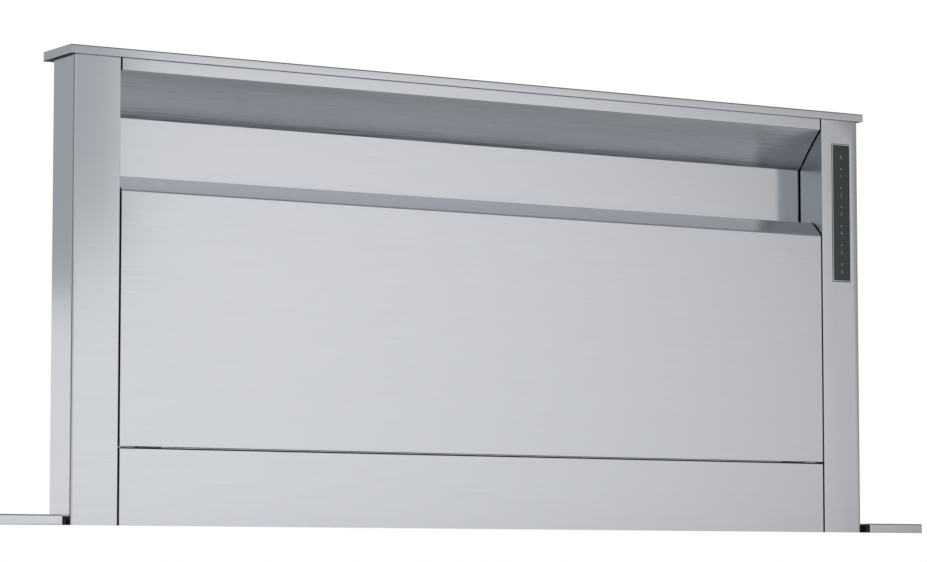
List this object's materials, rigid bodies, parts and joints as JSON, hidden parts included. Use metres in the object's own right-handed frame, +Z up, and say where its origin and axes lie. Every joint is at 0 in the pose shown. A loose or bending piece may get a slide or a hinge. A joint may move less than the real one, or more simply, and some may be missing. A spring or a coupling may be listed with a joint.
{
  "type": "downdraft vent",
  "caption": "Worktop downdraft vent with a steel chimney that rises from a slot, a rack-driven lift, grease filters, a blower and a round duct outlet.",
  "frame": {"origin": "middle of the bounding box on the floor plane that the housing and the motor plate stand on", "axes": "+Z up, +X along the worktop towards the touch strip, +Y to the back; the chimney is raised at rest"},
  "size_m": [0.9144, 0.2964, 1.0785],
  "materials": {
    "stainless_brushed": "stainless steel, brushed along the worktop",
    "galvanised_sheet": "galvanised sheet steel",
    "machined_steel": "machined steel",
    "aluminium_sheet": "mill finish aluminium sheet",
    "aluminium_mesh": "expanded aluminium layers",
    "cast_aluminium": "die cast",
    "dark_glass": "dark back-printed glass",
    "circuit_board": "glass fibre board with green solder mask",
    "dark_plastic": "moulded nylon",
    "white_nylon": "moulded nylon",
    "black_paint": "semi-gloss black paint on steel",
    "rubber_seal": "extruded EPDM"
  },
  "bodies": {
    "housing": {"slot_collar": "galvanised_sheet", "housing_front": "galvanised_sheet", "housing_back": "galvanised_sheet", "housing_bottom": "galvanised_sheet", "housing_left": "galvanised_sheet", "housing_right": "galvanised_sheet", "trim_plate_left": "stainless_brushed", "trim_plate_right": "stainless_brushed", "mount_bracket_left": "galvanised_sheet", "mount_bracket_right": "galvanised_sheet", "slot_seal_left": "rubber_seal", "slot_seal_right": "rubber_seal", "guide_rail_left": "galvanised_sheet", "guide_rail_right": "galvanised_sheet", "bearing_left": "cast_aluminium", "bearing_right": "cast_aluminium", "lift_gearbox": "cast_aluminium", "lift_motor": "black_paint", "upper_switch": "dark_plastic", "lower_switch": "dark_plastic", "blower_scroll": "galvanised_sheet", "motor_plate": "galvanised_sheet", "inlet_ring": "galvanised_sheet", "fan_motor": "black_paint", "outlet_collar": "galvanised_sheet", "damper_pin": "machined_steel", "control_box": "galvanised_sheet", "cable_gland": "dark_plastic"},
    "chimney": {"top_cap": "stainless_brushed", "left_post": "stainless_brushed", "right_post": "stainless_brushed", "header_rail": "stainless_brushed", "top_crossrail": "galvanised_sheet", "deflector": "stainless_brushed", "back_panel": "stainless_brushed", "lower_front_panel": "stainless_brushed", "filter_rail": "stainless_brushed", "bottom_brace": "galvanised_sheet", "touch_bezel": "machined_steel", "touch_glass": "dark_glass", "touch_board": "circuit_board", "panel_catch_left": "dark_plastic", "panel_catch_right": "dark_plastic", "guide_shoe_left": "white_nylon", "guide_shoe_right": "white_nylon", "rack_left": "machined_steel", "rack_right": "machined_steel"},
    "loose_panel": {"front_panel": "stainless_brushed"},
    "filter_left": {"filter_frame_left": "aluminium_sheet", "filter_mesh_left": "aluminium_mesh", "filter_handle_left": "machined_steel"},
    "filter_right": {"filter_frame_right": "aluminium_sheet", "filter_mesh_right": "aluminium_mesh", "filter_handle_right": "machined_steel"},
    "lift_drive": {"lift_shaft": "machined_steel", "pinion_left": "machined_steel", "pinion_right": "machined_steel"},
    "fan_wheel": {"impeller": "galvanised_sheet"},
    "damper_front": {"damper_flap_front": "aluminium_sheet"},
    "damper_rear": {"damper_flap_rear": "aluminium_sheet"}
  },
  "joints": [
    {"name": "chimney_lift", "type": "slide", "parent": "housing", "child": "chimney", "axis": [0, 0, 1], "range_m": [-0.3715, 0]},
    {"name": "lift_shaft_turn", "type": "hinge", "parent": "housing", "child": "lift_drive", "pos_m": [0, 0.1237, 0.615], "axis": [1, 0, 0], "range_deg": [0, 1420]},
    {"name": "panel_release", "type": "slide", "parent": "chimney", "child": "loose_panel", "axis": [0, -1, 0], "range_m": [0, 0.08]},
    {"name": "filter_left_lift", "type": "slide", "parent": "chimney", "child": "filter_left", "axis": [0, 0, 1], "range_m": [0, 0.025]},
    {"name": "filter_right_lift", "type": "slide", "parent": "chimney", "child": "filter_right", "axis": [0, 0, 1], "range_m": [0, 0.025]},
    {"name": "fan_spin", "type": "hinge", "parent": "housing", "child": "fan_wheel", "pos_m": [0, 0, 0.15], "axis": [0, 1, 0], "continuous": true},
    {"name": "damper_front_swing", "type": "hinge", "parent": "housing", "child": "damper_front", "pos_m": [0.2053, -0.0231, 0.2448], "axis": [0, 0, 1], "range_deg": [0, 70], "stiffness_Nm_per_rad": 0.02},
    {"name": "damper_rear_swing", "type": "hinge", "parent": "housing", "child": "damper_rear", "pos_m": [0.2053, -0.0231, 0.2448], "axis": [0, 0, -1], "range_deg": [0, 70], "stiffness_Nm_per_rad": 0.02}
  ],
  "couplings": [
    {"joint": "lift_shaft_turn", "follows": "chimney_lift", "rad_per_m": -66.667}
  ]
}
